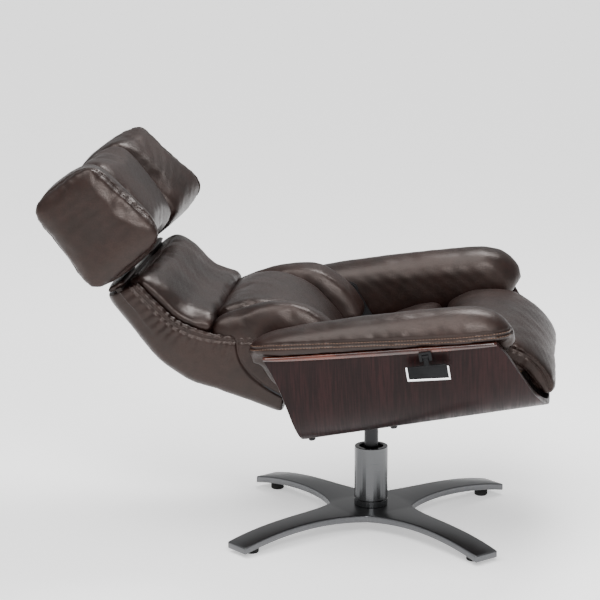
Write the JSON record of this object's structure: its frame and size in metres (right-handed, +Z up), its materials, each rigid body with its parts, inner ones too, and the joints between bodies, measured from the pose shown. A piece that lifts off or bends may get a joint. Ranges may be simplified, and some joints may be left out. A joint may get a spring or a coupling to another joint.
{
  "type": "recliner armchair",
  "caption": "Reclining lounge armchair: star base with swivel column, bentwood shell with padded arms, sliding seat, tilting winged headrest and a side release lever.",
  "frame": {"origin": "on the floor, under the middle of the chair's box", "axes": "+X the way the sitter faces, +Y the sitter's left, +Z up"},
  "size_m": [1.0058, 0.702, 0.7833],
  "materials": {
    "leather": "satin",
    "wenge": "gloss",
    "ply": "matte",
    "gunmetal": "satin",
    "black_steel": "satin",
    "zinc_steel": "satin",
    "chrome": "polished",
    "black_plastic": "matte",
    "rubber": "matte"
  },
  "bodies": {
    "base": {"base_star": "gunmetal", "foot_glide_1": "rubber", "foot_glide_2": "rubber", "foot_glide_3": "rubber", "foot_glide_4": "rubber", "column_collar": "gunmetal", "column_tube": "gunmetal", "base_bolt": "zinc_steel", "lower_bush": "black_plastic", "upper_bush": "black_plastic"},
    "shell_unit": {"spindle": "black_steel", "spindle_circlip": "zinc_steel", "spindle_socket": "black_steel", "shell": "wenge", "mount_plate": "black_steel", "mount_bolt_1": "black_steel", "mount_bolt_2": "black_steel", "mount_bolt_3": "black_steel", "mount_bolt_4": "black_steel", "arm_pad_left": "leather", "arm_pad_right": "leather", "hinge_bracket_left": "black_steel", "hinge_bracket_right": "black_steel", "hinge_bracket_left_bolt_1": "black_steel", "hinge_bracket_left_bolt_2": "black_steel", "hinge_bracket_right_bolt_1": "black_steel", "hinge_bracket_right_bolt_2": "black_steel", "seat_rail_left": "zinc_steel", "seat_rail_right": "zinc_steel", "gas_cylinder": "black_steel", "spring_bracket": "black_steel", "lever_boss": "black_plastic", "lever_pin": "zinc_steel"},
    "seat": {"seat_rear_cushion": "leather", "seat_front_cushion": "leather", "seat_pan": "ply", "seat_runner_left": "zinc_steel", "seat_runner_right": "zinc_steel"},
    "back": {"back_rear_cover": "leather", "back_board": "ply", "back_upper_cushion": "leather", "back_lumbar_cushion": "leather", "back_wing_left": "leather", "back_wing_right": "leather", "back_side_plate_left": "black_steel", "back_side_plate_right": "black_steel", "pivot_pin_left": "zinc_steel", "pivot_pin_right": "zinc_steel", "back_cross_tube": "black_steel", "spring_crank": "black_steel", "headrest_hinge_lower": "zinc_steel"},
    "headrest": {"headrest_rear_cushion": "leather", "headrest_middle_cushion": "leather", "headrest_wing_left": "leather", "headrest_wing_right": "leather", "headrest_board": "ply", "headrest_hinge_upper": "zinc_steel"},
    "spring_rod": {"gas_rod": "chrome"},
    "lever": {"lever": "black_plastic", "lever_trim": "chrome"}
  },
  "joints": [
    {"name": "swivel", "type": "hinge", "parent": "base", "child": "shell_unit", "pos_m": [0.13189, 0, 0.1], "axis": [0, 0, 1], "continuous": true},
    {"name": "recline", "type": "hinge", "parent": "shell_unit", "child": "back", "pos_m": [0.06695, 0, 0.44153], "axis": [0, 1, 0], "range_deg": [0, 34]},
    {"name": "seat_slide", "type": "slide", "parent": "shell_unit", "child": "seat", "axis": [-0.9842, 0, -0.1771], "range_m": [0, 0.035]},
    {"name": "spring_stroke", "type": "slide", "parent": "shell_unit", "child": "spring_rod", "axis": [-0.9842, 0, -0.1771], "range_m": [0, 0.0877]},
    {"name": "headrest_tilt", "type": "hinge", "parent": "back", "child": "headrest", "pos_m": [-0.35164, 0, 0.54889], "axis": [0, 1, 0], "range_deg": [0, 24]},
    {"name": "release_lever", "type": "hinge", "parent": "shell_unit", "child": "lever", "pos_m": [0.25997, -0.3445, 0.44171], "axis": [-0.9842, 0, -0.1771], "range_deg": [0, 25], "stiffness_Nm_per_rad": 0.6}
  ],
  "couplings": [
    {"joint": "seat_slide", "follows": "recline", "m_per_rad": 0.058981},
    {"joint": "spring_stroke", "follows": "recline", "m_per_rad": 0.14779}
  ]
}
